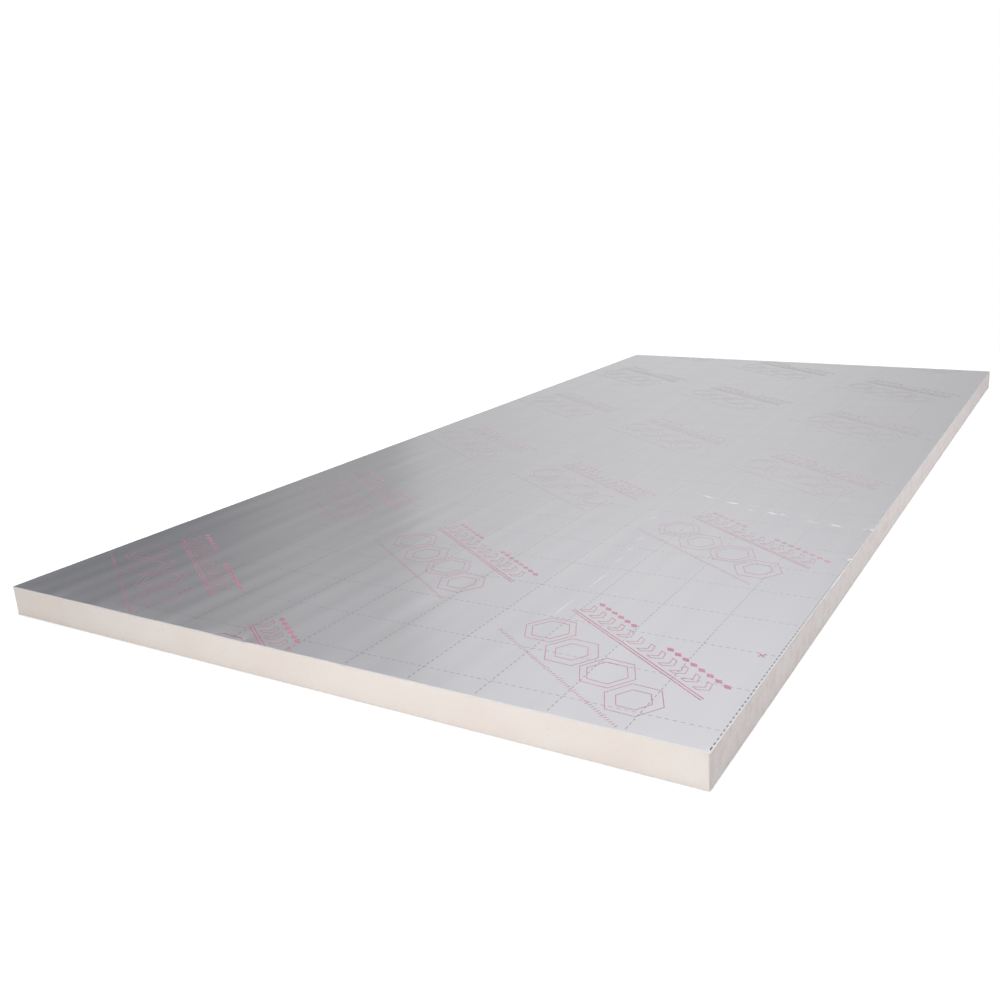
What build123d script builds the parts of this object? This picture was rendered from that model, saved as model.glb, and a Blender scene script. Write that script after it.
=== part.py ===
from build123d import *
import os

# A rigid foam insulation board, one sheet of stock lying flat: a foam core with a
# foil laminate facer bonded to its top and another to its underside.
# Millimetres. X runs across the board, Y along it and Z up. The origin is the
# middle of the underside.

# Driving dimensions
board_length = 2400.0
board_width = 1200.0
board_thickness = 50.0  # over both facers
facer_thickness = 0.15  # foil on kraft paper
arris_radius = 1.0  # the saw drags each facer's cut edge over the foam this far
corner_radius = 2.5  # the upright corners, eased by handling


def eased_slab(depth_under_skin):
    """The board's outer form, or the same form a given depth under its skin."""
    outline = RectangleRounded(
        board_width - 2 * depth_under_skin,
        board_length - 2 * depth_under_skin,
        corner_radius - depth_under_skin,
    )
    slab = extrude(outline, amount=board_thickness - 2 * depth_under_skin)
    slab = Pos(0, 0, depth_under_skin) * slab
    faces_upwards = slab.faces().sort_by(Axis.Z)
    rims = faces_upwards[0].edges() + faces_upwards[-1].edges()
    return fillet(rims, arris_radius - depth_under_skin)


def sawn_band():
    """The part of the cut edges between the two facers, where the foam shows."""
    outline = RectangleRounded(board_width, board_length, corner_radius)
    band = extrude(outline, amount=board_thickness - 2 * arris_radius)
    return Pos(0, 0, arris_radius) * band


def foam_core():
    """Foam up to the facers and, between their turned edges, out to the saw cut."""
    return sawn_band() + eased_slab(facer_thickness)


def top_facer():
    """A sheet over the top face, turned down over the arris all the way round."""
    skin = eased_slab(0) - eased_slab(facer_thickness)
    turned_edge = Plane.XY.offset(board_thickness - arris_radius)
    return split(skin, bisect_by=turned_edge, keep=Keep.TOP)


def bottom_facer():
    """The same sheet on the underside, turned up over its own arris."""
    middle_plane = Plane.XY.offset(board_thickness / 2)
    return mirror(top_facer(), about=middle_plane)


pieces = {
    "foam_core": foam_core(),
    "top_facer": top_facer(),
    "bottom_facer": bottom_facer(),
}

os.makedirs("parts", exist_ok=True)
for name, piece in pieces.items():
    export_step(piece, f"parts/{name}.step")
    print(name, [round(side, 2) for side in piece.bounding_box().size])
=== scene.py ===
"""The finished look of a foil-faced rigid foam insulation board that lies flat.

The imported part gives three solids: a foam core and a foil facer on each face. This
script replaces them with surfaces that have the creases, dents and saw marks of the
real ones, prints the cutting grid and the red stamps on the top facer, and sets the
studio and the camera. Metres, in the frame of the part: X runs across the board, Y
along it and Z up, and the origin is the middle of the underside.
"""

import logging
import math
from collections.abc import Sequence
from dataclasses import dataclass, field
from enum import Enum

import bpy
import numpy as np
from mathutils import Matrix, Vector


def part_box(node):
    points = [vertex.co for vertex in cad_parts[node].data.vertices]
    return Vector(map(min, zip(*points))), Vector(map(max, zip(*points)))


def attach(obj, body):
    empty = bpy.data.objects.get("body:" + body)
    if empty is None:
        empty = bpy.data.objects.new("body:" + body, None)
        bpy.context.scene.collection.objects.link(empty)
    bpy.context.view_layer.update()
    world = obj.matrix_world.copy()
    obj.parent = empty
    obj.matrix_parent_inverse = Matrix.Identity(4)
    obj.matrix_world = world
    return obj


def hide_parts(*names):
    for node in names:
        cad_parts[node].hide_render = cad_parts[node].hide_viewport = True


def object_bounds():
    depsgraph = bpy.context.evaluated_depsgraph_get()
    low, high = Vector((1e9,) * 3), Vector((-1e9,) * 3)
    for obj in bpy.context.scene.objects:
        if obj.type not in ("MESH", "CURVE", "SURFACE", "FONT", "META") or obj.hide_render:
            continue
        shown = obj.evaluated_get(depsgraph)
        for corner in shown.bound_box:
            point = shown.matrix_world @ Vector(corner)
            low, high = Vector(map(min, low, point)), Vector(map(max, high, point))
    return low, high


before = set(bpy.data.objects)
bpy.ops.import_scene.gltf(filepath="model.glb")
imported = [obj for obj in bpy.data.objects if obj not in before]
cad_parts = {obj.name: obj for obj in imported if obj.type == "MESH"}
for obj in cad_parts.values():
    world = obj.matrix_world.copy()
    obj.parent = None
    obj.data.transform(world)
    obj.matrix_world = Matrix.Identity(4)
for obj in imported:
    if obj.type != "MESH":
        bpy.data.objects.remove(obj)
cad_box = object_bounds()

log = logging.getLogger("board")
MM = 0.001
PAINTED_GLINT_SHARE = "painted_glint_share"  # vertex attribute of a facer: how much painted highlight it gets
TORN_SHARE = "torn_share"  # vertex attribute of the core: how far its cells are torn
SIDE_SHARE = "side_share"  # vertex attribute of the core: 1 on its long sides
NO_TRIANGLES = np.empty((0, 3), int)
NO_QUADS = np.empty((0, 4), int)


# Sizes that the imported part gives


@dataclass(frozen=True)
class BoardSizes:
    """The sheet's sizes in metres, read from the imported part.

    Attributes:
        width: across the board, along X.
        length: along Y.
        thickness: over both facers.
        facer: thickness of one facer.
        arris: how far each facer's cut edge is turned over the foam.
        corner: radius of the upright corners, in plan.
    """

    width: float
    length: float
    thickness: float
    facer: float
    arris: float
    corner: float = 2.5 * MM

    @classmethod
    def from_frame(cls) -> "BoardSizes":
        """Measures the three CAD nodes."""
        low, high = cad_box
        _, core_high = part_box("foam_core")
        top_low, top_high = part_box("top_facer")
        return cls(
            width=high.x - low.x,
            length=high.y - low.y,
            thickness=high.z - low.z,
            facer=top_high.z - core_high.z,
            arris=top_high.z - top_low.z,
        )


# Surfaces as functions of two parameters


@dataclass(frozen=True)
class WaveField:
    """A smooth random field: a sum of sine waves with random phases.

    The value at (a, b) is the sum, over the waves, of the sine of 2 pi (a / wavelength
    across + b / wavelength along) plus a phase, divided by the root of half the number
    of waves, so that it stays mostly between -2 and 2.

    Attributes:
        across: shortest and longest wavelength along the first parameter.
        along: shortest and longest wavelength along the second.
        waves: how many waves are added.
        seed: of the random draws.
    """

    across: tuple[float, float]
    along: tuple[float, float]
    waves: int
    seed: int

    def value(self, a: np.ndarray, b: np.ndarray) -> np.ndarray:
        """The field at whole arrays of places.

        Args:
            a: first parameter, in metres.
            b: second parameter, of the same shape.

        Returns:
            The field there, of the same shape.
        """
        rng = np.random.default_rng(self.seed)
        turns_a = 1 / rng.uniform(*self.across, self.waves)
        turns_b = rng.choice((-1, 1), self.waves) / rng.uniform(*self.along, self.waves)
        phases = rng.uniform(0, 2 * math.pi, self.waves)
        total = np.zeros(np.shape(a))
        for turn_a, turn_b, phase in zip(turns_a, turns_b, phases):
            total += np.sin(2 * math.pi * (a * turn_a + b * turn_b) + phase)
        return total / math.sqrt(self.waves / 2)


@dataclass(frozen=True)
class Crease:
    """A straight fold that stands up out of the foil.

    Attributes:
        start: one end on the face, (x, y) in metres.
        end: the other end.
        height: of the fold's crest.
        width: distance from the crest at which the fold has fallen to 1 / e.
        gaps: how many times the fold fades and comes back along its run.
        glint: how much painted highlight its crest gets, from 0 to 1.
        fade_power: of its fade at the ends; the smaller, the blunter they are.
    """

    start: tuple[float, float]
    end: tuple[float, float]
    height: float
    width: float
    gaps: int = 0
    glint: float = 0.0
    fade_power: float = 0.35

    def rise(self, x: np.ndarray, y: np.ndarray) -> np.ndarray:
        """Height of the fold: a bell across it that fades out at both ends."""
        run = np.subtract(self.end, self.start)
        reach = float(np.hypot(*run))
        unit = run / reach
        from_x = x - self.start[0]
        from_y = y - self.start[1]
        along = (from_x * unit[0] + from_y * unit[1]) / reach
        across = from_y * unit[0] - from_x * unit[1]
        inside = np.clip(along, 0, 1)
        fade = np.sin(math.pi * inside) ** self.fade_power
        broken = 1 - 0.5 * (1 - np.cos(2 * math.pi * self.gaps * inside))
        return self.height * fade * broken * np.exp(-((across / self.width) ** 2))


@dataclass(frozen=True)
class Dent:
    """A shallow knock in the face or over an edge.

    Attributes:
        x: middle, in metres.
        y: middle.
        depth: at the middle.
        reach_x: distance along X at which it has fallen to 1 / e.
        reach_y: the same along Y.
        glint: how much painted highlight its rim gets, from 0 to 1.
        rim_at: where that rim lies, in square reaches from the middle.
        rim_width: of the rim, in the same measure.
    """

    x: float
    y: float
    depth: float
    reach_x: float
    reach_y: float
    glint: float = 0.0
    rim_at: float = 0.6
    rim_width: float = 0.5

    def away(self, x: np.ndarray, y: np.ndarray) -> np.ndarray:
        """Square of the distance from the middle, in reaches."""
        return ((x - self.x) / self.reach_x) ** 2 + ((y - self.y) / self.reach_y) ** 2

    def drop(self, x: np.ndarray, y: np.ndarray) -> np.ndarray:
        """Depth of the knock: a bell in plan."""
        return self.depth * np.exp(-self.away(x, y))

    def rim(self, x: np.ndarray, y: np.ndarray) -> np.ndarray:
        """1 on the ring where the knock is steepest, and 0 away from it."""
        return np.exp(-(((self.away(x, y) - self.rim_at) / self.rim_width) ** 2))


@dataclass(frozen=True)
class GlintEdge:
    """A stretch of the right-hand arris that gets a painted highlight.

    Attributes:
        start: where along Y it starts, in metres.
        end: where it ends.
        glint: how much painted highlight it gets, from 0 to 1.
    """

    start: float
    end: float
    glint: float


@dataclass
class FacerRelief:
    """Height of a facer's outer skin over its nominal plane.

    The rolled foil has long low ripples along its length, it sags a little between them, and handling
    has left creases and dents. It also gives where the foil gets a painted highlight.

    Attributes:
        sizes: of the board.
        headroom: how far the nominal plane lies under the CAD face, for the crests.
        ripple: height of the ripples that run along the board.
        sag: height of the broad unevenness.
        edge_ripple: height of the waviness along the cut edges.
        edge_reach: how far that waviness reaches in from the edges.
        creases: folds that stand up.
        dents: knocks.
        painted_glints: stretches of the right-hand arris with a painted highlight.
        glint_ends: how much painted highlight the foil's cut edge gets at the two ends.
        glint_sides: the same along the two sides.
        crest_share: how much of the headroom a crest may fill.
        arris_reach: how far the painted highlight of a cut edge reaches in.
        edge_strip: width of the strip that counts as an end or a side.
        stray_glint: how much painted highlight the arris gets here and there.
        stray_glint_from: value of the random field past which the arris gets it.
        seed: of the random draws.
    """

    sizes: BoardSizes
    headroom: float
    ripple: float
    sag: float
    edge_ripple: float
    edge_reach: float = 14 * MM
    creases: tuple[Crease, ...] = ()
    dents: tuple[Dent, ...] = ()
    painted_glints: tuple[GlintEdge, ...] = ()
    glint_ends: float = 0.0
    glint_sides: float = 0.0
    crest_share: float = 0.7
    arris_reach: float = 1.3 * MM
    edge_strip: float = 3 * MM
    stray_glint: float = 0.5
    stray_glint_from: float = 0.9
    seed: int = 1

    def from_edge(self, x: np.ndarray, y: np.ndarray) -> np.ndarray:
        """Distance in from the nearest cut edge, never negative."""
        from_side = self.sizes.width / 2 - np.abs(x)
        from_end = self.sizes.length / 2 - np.abs(y)
        return np.clip(np.minimum(from_side, from_end), 0, None)

    def height(self, x: np.ndarray, y: np.ndarray) -> np.ndarray:
        """Height over the nominal plane, negative where the skin lies lower.

        Args:
            x: places across the board, in metres.
            y: places along it, of the same shape.

        Returns:
            Ripple, sag and edge waviness, plus the folds, less the knocks.
        """
        ripples = WaveField(across=(0.045, 0.15), along=(0.5, 2.4), waves=16, seed=self.seed)
        broad = WaveField(across=(0.25, 0.7), along=(0.35, 1.1), waves=8, seed=self.seed + 1)
        wavy = WaveField(across=(0.035, 0.13), along=(0.035, 0.13), waves=10, seed=self.seed + 2)
        near_edge = np.exp(-self.from_edge(x, y) / self.edge_reach)
        level = self.ripple * ripples.value(x, y) + self.sag * broad.value(x, y)
        level = level + self.edge_ripple * near_edge * (wavy.value(x, y) - 1)
        for crease in self.creases:
            level = level + crease.rise(x, y)
        for dent in self.dents:
            level = level - dent.drop(x, y)
        return level

    def skin(self, x: np.ndarray, y: np.ndarray) -> np.ndarray:
        """Distance of the outer skin from the board's other CAD face."""
        limit = self.headroom * self.crest_share
        plane = self.sizes.thickness - self.headroom
        return plane + np.minimum(self.height(x, y), limit)

    def painted_glint_share(self, x: np.ndarray, y: np.ndarray) -> np.ndarray:
        """How much painted highlight the foil gets: on folds, rims of knocks and bits of arris.

        Args:
            x: places across the board, in metres.
            y: places along it, of the same shape.

        Returns:
            The largest of all the marks there, from 0 to 1.
        """
        # Painted highlight: random spots and the cut edges of the arris, fold crests, knock rims and
        # listed stretches of the right-hand arris.
        stray_glints = WaveField(across=(0.05, 0.3), along=(0.05, 0.3), waves=12, seed=self.seed + 3)
        on_arris = np.exp(-((self.from_edge(x, y) / self.arris_reach) ** 2))
        share = self.stray_glint * on_arris * np.clip(stray_glints.value(x, y) - self.stray_glint_from, 0, 1)
        at_end = np.abs(y) > self.sizes.length / 2 - self.edge_strip
        share = np.maximum(share, on_arris * np.where(at_end, self.glint_ends, self.glint_sides))
        for crease in self.creases:
            share = np.maximum(share, crease.glint * crease.rise(x, y) / crease.height)
        for dent in self.dents:
            share = np.maximum(share, dent.glint * dent.rim(x, y))
        on_right = on_arris * (x > self.sizes.width / 2 - self.edge_strip)
        for stretch in self.painted_glints:
            within = (y > stretch.start) & (y < stretch.end)
            share = np.maximum(share, stretch.glint * on_right * within)
        return np.clip(share, 0, 1)


# Meshes from arrays


def quads_between(first: np.ndarray, second: np.ndarray, closed: bool) -> np.ndarray:
    """Quads between two rows of vertex numbers that run side by side.

    Args:
        first: vertex numbers of one row; the last axis runs along it.
        second: those of the other row, to the left of the first as it runs when
            seen from the side that the faces look at.
        closed: joins the last pair back to the first.

    Returns:
        Vertex numbers, four to a quad.
    """
    if closed:
        first = np.concatenate([first, first[..., :1]], -1)
        second = np.concatenate([second, second[..., :1]], -1)
    corners = [first[..., :-1], first[..., 1:], second[..., 1:], second[..., :-1]]
    return np.stack(corners, -1).reshape(-1, 4)


def fan(ring: np.ndarray, middle: int) -> np.ndarray:
    """Triangles from each side of a ring of vertex numbers to the middle one."""
    return np.stack([ring, np.roll(ring, -1), np.full_like(ring, middle)], -1)


def new_piece(name: str, places: np.ndarray, quads: np.ndarray,
              triangles: np.ndarray = NO_TRIANGLES, sharp_deg: float = 35.0) -> bpy.types.Object:
    """Puts arrays into a new mesh object at the origin.

    Args:
        name: of the object and its mesh.
        places: vertex places, (n, 3), in metres.
        quads: vertex numbers, (m, 4), anticlockwise from outside.
        triangles: vertex numbers, (k, 3), in the same order.
        sharp_deg: edges that turn by more than this are shaded sharp.

    Returns:
        The object, linked to the scene.
    """
    mesh = bpy.data.meshes.new(name)
    corners = np.concatenate([quads.ravel(), triangles.ravel()]).astype(np.int32)
    counts = np.repeat([4, 3], [len(quads), len(triangles)])
    starts = np.concatenate([[0], np.cumsum(counts)[:-1]]).astype(np.int32)
    mesh.vertices.add(len(places))
    mesh.loops.add(len(corners))
    mesh.polygons.add(len(counts))
    mesh.vertices.foreach_set("co", np.ascontiguousarray(places, np.float32).ravel())
    mesh.loops.foreach_set("vertex_index", corners)
    mesh.polygons.foreach_set("loop_start", starts)
    mesh.update(calc_edges=True)
    mesh.validate()
    mesh.polygons.foreach_set("use_smooth", np.ones(len(mesh.polygons), bool))
    mesh.set_sharp_from_angle(angle=math.radians(sharp_deg))
    piece = bpy.data.objects.new(name, mesh)
    bpy.context.scene.collection.objects.link(piece)
    return piece


def spaced(low: float, high: float, pitch: float) -> np.ndarray:
    """Evenly spaced values from low to high, no further apart than pitch."""
    return np.linspace(low, high, max(2, math.ceil((high - low) / pitch) + 1))


# The pieces


class Face(Enum):
    """Which face of the board a facer covers."""

    TOP = "top_facer"
    UNDERSIDE = "bottom_facer"


@dataclass
class FacerSheet:
    """A facer: a thin closed sheet over one face, turned over the arris all round.

    Attributes:
        sizes: of the board.
        relief: of the outer skin.
        face: the face that it covers.
        pitch_across: spacing of the grid's lines across the board.
        pitch_along: spacing along the board.
        fine_x: (from, to, pitch) stretches of X with closer lines.
        fine_y: the same for Y.
        arris_steps: faces round the turned edge.
    """

    sizes: BoardSizes
    relief: FacerRelief
    face: Face
    pitch_across: float
    pitch_along: float
    fine_x: tuple[tuple[float, float, float], ...] = ()
    fine_y: tuple[tuple[float, float, float], ...] = ()
    arris_steps: int = 4

    def lines(self, half: float, pitch: float,
              fine: tuple[tuple[float, float, float], ...]) -> np.ndarray:
        """Places of the grid's lines along one axis.

        Args:
            half: from the middle to the last line.
            pitch: the usual spacing.
            fine: stretches with a closer spacing.

        Returns:
            Rising values, symmetric at the corners, where three lines round them.
        """
        round_zone = self.sizes.corner - self.sizes.arris
        inner = spaced(-half + round_zone, half - round_zone, pitch)
        for low, high, close in fine:
            outside = inner[(inner < low - close) | (inner > high + close)]
            inner = np.sort(np.concatenate([outside, spaced(low, high, close)]))
        rounding = round_zone * np.array([0.4, 0.75, 1.0])
        return np.concatenate([inner[0] - rounding[::-1], inner, inner[-1] + rounding])

    def flat_plan(self) -> tuple[np.ndarray, np.ndarray]:
        """The part inside the turned edge, as a grid whose corners are rounded.

        In each corner square, whose sides are the corner radius less the arris, a
        point (p, q) of the unit square goes to (p sqrt(1 - q q / 2), q sqrt(1 - p p
        / 2)) of the unit quarter disc. Elsewhere the grid stays square.

        Returns:
            X and Y of every grid point, (across, along).
        """
        sizes = self.sizes
        half_x = sizes.width / 2 - sizes.arris
        half_y = sizes.length / 2 - sizes.arris
        radius = sizes.corner - sizes.arris
        x, y = np.meshgrid(
            self.lines(half_x, self.pitch_across, self.fine_x),
            self.lines(half_y, self.pitch_along, self.fine_y),
            indexing="ij",
        )
        p = np.clip((np.abs(x) - half_x + radius) / radius, 0, 1)
        q = np.clip((np.abs(y) - half_y + radius) / radius, 0, 1)
        in_x = radius * p * (1 - np.sqrt(1 - q * q / 2))
        in_y = radius * q * (1 - np.sqrt(1 - p * p / 2))
        return x - np.sign(x) * in_x, y - np.sign(y) * in_y

    def build(self) -> bpy.types.Object:
        """Makes the sheet.

        The turned edge is a quarter circle: at the angle t it lies arris * sin(t)
        outside the flat part and arris * (1 - cos(t)) under its rim. The inner skin
        is the same form, one facer thickness inside the outer one.

        Returns:
            The sheet, as one closed mesh.
        """
        sizes = self.sizes
        x, y = self.flat_plan()
        outer_z = self.relief.skin(x, y)
        number = np.arange(x.size).reshape(x.shape)
        ring = np.concatenate(
            [number[:-1, 0], number[-1, :-1], number[:0:-1, -1], number[0, :0:-1]]
        )
        rim = np.stack([x.ravel()[ring], y.ravel()[ring]], -1)
        inner_half = np.array([sizes.width / 2, sizes.length / 2]) - sizes.corner
        outwards = rim - np.clip(rim, -inner_half, inner_half)
        outwards = outwards / np.linalg.norm(outwards, axis=1, keepdims=True)
        rim_z = outer_z.ravel()[ring]
        angles = np.linspace(0, math.pi / 2, self.arris_steps + 1)[1:, None]

        def turned_edge(radius: float) -> np.ndarray:
            """Rings of the quarter circle of that radius, rim first."""
            plan = rim[None] + radius * np.sin(angles)[..., None] * outwards[None]
            drop = sizes.arris - radius * np.cos(angles)
            return np.concatenate([plan, (rim_z[None] - drop)[..., None]], -1)

        outer_flat = np.stack([x, y, outer_z], -1).reshape(-1, 3)
        inner_flat = outer_flat - (0, 0, sizes.facer)
        outer_edge = turned_edge(sizes.arris).reshape(-1, 3)
        inner_edge = turned_edge(sizes.arris - sizes.facer).reshape(-1, 3)
        places = np.concatenate([outer_flat, outer_edge, inner_flat, inner_edge])

        rings = np.arange(len(angles) * len(ring)).reshape(len(angles), len(ring))
        outer_rings = np.concatenate([ring[None], rings + x.size])
        half_way = x.size + rings.size
        inner_rings = outer_rings + half_way
        flat_quads = quads_between(number[:, :-1].T, number[:, 1:].T, False)
        edge_quads = quads_between(outer_rings[1:], outer_rings[:-1], True)
        outer_quads = np.concatenate([flat_quads, edge_quads])
        inner_quads = outer_quads[:, ::-1] + half_way
        cut_quads = quads_between(inner_rings[-1], outer_rings[-1], True)
        quads = np.concatenate([outer_quads, inner_quads, cut_quads])
        if self.face is Face.UNDERSIDE:
            places[:, 2] = sizes.thickness - places[:, 2]
            quads = quads[:, ::-1]
        sheet = new_piece(f"{self.face.value}_sheet", places, quads)
        # The sheet carries the share of painted highlight as a vertex attribute.
        glint = sheet.data.attributes.new(PAINTED_GLINT_SHARE, "FLOAT", "POINT")
        glint.data.foreach_set("value", self.relief.painted_glint_share(places[:, 0], places[:, 1]))
        return sheet


@dataclass
class SawnCore:
    """The foam slab, with its four sawn sides at full relief.

    Attributes:
        sizes: of the board.
        top: relief of the facer above, which its upper arris follows.
        under: relief of the facer below.
        pitch: spacing of the columns of faces along the cut edges.
        rows: rows of faces up the cut edges.
        clearance: gap to the facers' inner skins.
        wander: how far the saw strays along the edge.
        blade_marks: depth of the marks that the blade leaves across the edge.
        pit_depth: depth of the torn cells.
        end_pits: value of the random field past which cells are torn on the ends.
        side_pits: the same on the long sides, which a coarser saw cuts.
        worn_corner: (x sign, y sign) of the corner that is knocked in.
        wear: how far that corner is knocked in.
        wear_reach: how far the knock spreads.
        wear_low: share of the knock that is left at the foot of the corner.
        tear_span: rise of the random field from whole to fully torn foam.
        cap_inset: width of the hidden slope under each facer.
        cap_depth: how far the hidden flat lies under the facer.
    """

    sizes: BoardSizes
    top: FacerRelief
    under: FacerRelief
    pitch: float = 3.0 * MM
    rows: int = 20
    clearance: float = 0.02 * MM
    wander: float = 0.12 * MM
    blade_marks: float = 0.045 * MM
    pit_depth: float = 0.35 * MM
    end_pits: float = 2.5
    side_pits: float = 1.0
    worn_corner: tuple[int, int] = (1, -1)
    wear: float = 1.6 * MM
    wear_reach: float = 7 * MM
    wear_low: float = 0.25
    tear_span: float = 0.8
    cap_inset: float = 16 * MM
    cap_depth: float = 2.0 * MM

    def outline(self) -> tuple[np.ndarray, np.ndarray, np.ndarray]:
        """The plan outline, anticlockwise: straight sides and quarter circles.

        Returns:
            Places (n, 2), outward normals (n, 2) and the distance run along (n,).
        """
        sizes = self.sizes
        radius = sizes.corner
        half = np.array([sizes.width / 2, sizes.length / 2]) - radius
        centres = half * np.array([[1, -1], [1, 1], [-1, 1], [-1, -1]])
        places = []
        normals = []
        for quarter, centre in enumerate(centres):
            turn = math.radians(-90 + 90 * quarter) + np.linspace(0, math.pi / 2, 5)
            normal = np.stack([np.cos(turn), np.sin(turn)], -1)
            arc = centre + radius * normal
            following = centres[(quarter + 1) % 4] + radius * normal[-1]
            reach = float(np.linalg.norm(following - arc[-1]))
            share = spaced(0, reach, self.pitch)[1:-1, None] / reach
            side = arc[-1] + share * (following - arc[-1])
            places += [arc, side]
            normals += [normal, np.repeat(normal[-1:], len(side), 0)]
        loop = np.concatenate(places)
        steps = np.linalg.norm(np.diff(loop, axis=0, append=loop[:1]), axis=1)
        run = np.concatenate([[0], np.cumsum(steps)[:-1]])
        return loop, np.concatenate(normals), run

    def torn(self, run: np.ndarray, z: np.ndarray, on_side: np.ndarray) -> np.ndarray:
        """Where cells are torn: a random field past a threshold.

        Args:
            run: distance along the outline.
            z: height.
            on_side: which places are on the long sides.

        Returns:
            How far each place is torn, from 0 to 1.
        """
        tears = WaveField(across=(7 * MM, 26 * MM), along=(6 * MM, 20 * MM), waves=18, seed=23)
        past = tears.value(run, z) - np.where(on_side, self.side_pits, self.end_pits)
        return np.clip(past, 0, self.tear_span) / self.tear_span

    def cut_depth(self, run: np.ndarray, z: np.ndarray, torn: np.ndarray) -> np.ndarray:
        """How far the sawn foam lies inside the outline.

        The saw's stray runs along the edge, and its marks run up it at a slant.

        Args:
            run: distance along the outline.
            z: height.
            torn: how far each place is torn.

        Returns:
            Depth, never negative.
        """
        stray = WaveField(across=(0.18, 0.6), along=(0.3, 0.9), waves=8, seed=21)
        marks = WaveField(across=(6 * MM, 15 * MM), along=(40 * MM, 160 * MM), waves=12, seed=22)
        depth = self.wander * (1 + 0.5 * stray.value(run, z))
        depth = depth + self.blade_marks * (1 + 0.5 * marks.value(run, z))
        return np.clip(depth + self.pit_depth * torn, 0, None)

    def build(self) -> bpy.types.Object:
        """Makes the slab: rings up the cut edges, closed by a hidden fan at each end.

        Returns:
            The slab, as one closed mesh.
        """
        sizes = self.sizes
        loop, normals, run = self.outline()
        lid = self.top.skin(loop[:, 0], loop[:, 1])
        floor = sizes.thickness - self.under.skin(loop[:, 0], loop[:, 1])
        tuck = sizes.arris - sizes.facer - self.clearance
        share = np.linspace(0, 1, self.rows + 1)[:, None]
        side_low = floor + sizes.arris + self.clearance
        side_high = lid - sizes.arris - self.clearance
        side_z = side_low + share * (side_high - side_low)
        corner = np.array(self.worn_corner) * [sizes.width / 2, sizes.length / 2]
        knock = np.exp(-np.linalg.norm(loop - corner, axis=1) / self.wear_reach)
        knock = self.wear * knock * (self.wear_low + (1 - self.wear_low) * share**2)
        run = np.broadcast_to(run, side_z.shape)
        on_side = np.broadcast_to(np.abs(normals[:, 0]) > 0.7, side_z.shape)
        torn = self.torn(run, side_z, on_side)
        inset = self.cut_depth(run, side_z, torn) + knock

        hidden_low = float(floor.max()) + self.cap_depth
        hidden_high = float(lid.min()) - self.cap_depth
        even = np.ones(len(loop))
        steps = [(tuck * math.cos(turn), tuck * math.sin(turn)) for turn in np.radians([90, 45, 0])]
        below = [((sizes.arris - out) * even, floor + sizes.arris - up) for out, up in steps]
        above = [((sizes.arris - out) * even, lid - sizes.arris + up) for out, up in steps[::-1]]
        caps = [(self.cap_inset * even, level * even) for level in (hidden_low, hidden_high)]
        stack = [caps[0], *below, *zip(inset, side_z), *above, caps[1]]
        insets, heights = (np.stack(rows) for rows in zip(*stack))
        plan = loop[None] - insets[..., None] * normals[None]
        plan[[0, -1]] = loop * (1 - self.cap_inset / np.array([sizes.width / 2, sizes.length / 2]))
        places = np.concatenate([plan, heights[..., None]], -1).reshape(-1, 3)
        middles = np.array([[0, 0, hidden_low], [0, 0, hidden_high]])
        rings = np.arange(insets.size).reshape(insets.shape)
        quads = quads_between(rings[:-1], rings[1:], True)
        fans = np.concatenate([fan(rings[0, ::-1], insets.size), fan(rings[-1], insets.size + 1)])
        slab = new_piece("foam_core_slab", np.concatenate([places, middles]), quads, fans)
        hidden = np.zeros((4, len(loop)))
        for name, marks in ((TORN_SHARE, torn), (SIDE_SHARE, on_side)):
            share = slab.data.attributes.new(name, "FLOAT", "POINT")
            ring_values = np.concatenate([hidden, marks, hidden]).ravel()
            share.data.foreach_set("value", np.append(ring_values, np.zeros(len(middles))))
        return slab


@dataclass
class InkStrips:
    """Printed strips: thin closed bands that lie on the foil and follow its relief.

    Attributes:
        relief: of the foil under the ink.
        rise: how far the ink stands over the foil.
        sunk: how far it reaches into it, so that no gap shows.
    """

    relief: FacerRelief
    rise: float = 0.09 * MM
    sunk: float = 0.05 * MM
    places: list[np.ndarray] = field(default_factory=list)
    quads: list[np.ndarray] = field(default_factory=list)
    used: int = 0

    def add(self, left: np.ndarray, right: np.ndarray, closed: bool = False) -> None:
        """Adds bands between two edges each.

        Args:
            left: left edges in plan, (bands, stations, 2).
            right: right edges, of the same shape.
            closed: the bands are loops.
        """
        edges = np.stack([left, right], 1)
        foil = self.relief.skin(edges[..., 0], edges[..., 1])
        upper = np.concatenate([edges, (foil + self.rise)[..., None]], -1)
        lower = np.concatenate([edges, (foil - self.sunk)[..., None]], -1)
        block = np.stack([upper, lower], 1)
        number = self.used + np.arange(block[..., 0].size).reshape(block.shape[:-1])
        top_left, top_right = number[:, 0, 0], number[:, 0, 1]
        low_left, low_right = number[:, 1, 0], number[:, 1, 1]
        self.quads += [
            quads_between(top_right, top_left, closed),
            quads_between(low_left, low_right, closed),
            quads_between(low_right, top_right, closed),
            quads_between(top_left, low_left, closed),
        ]
        if not closed:
            start = [top_left, low_left, low_right, top_right]
            finish = [top_right, low_right, low_left, top_left]
            self.quads.append(np.stack([part[:, 0] for part in start], -1))
            self.quads.append(np.stack([part[:, -1] for part in finish], -1))
        self.places.append(block.reshape(-1, 3))
        self.used += block[..., 0].size

    def build(self, name: str) -> bpy.types.Object:
        """Makes one mesh of all the bands."""
        return new_piece(name, np.concatenate(self.places), np.concatenate(self.quads))


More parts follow.
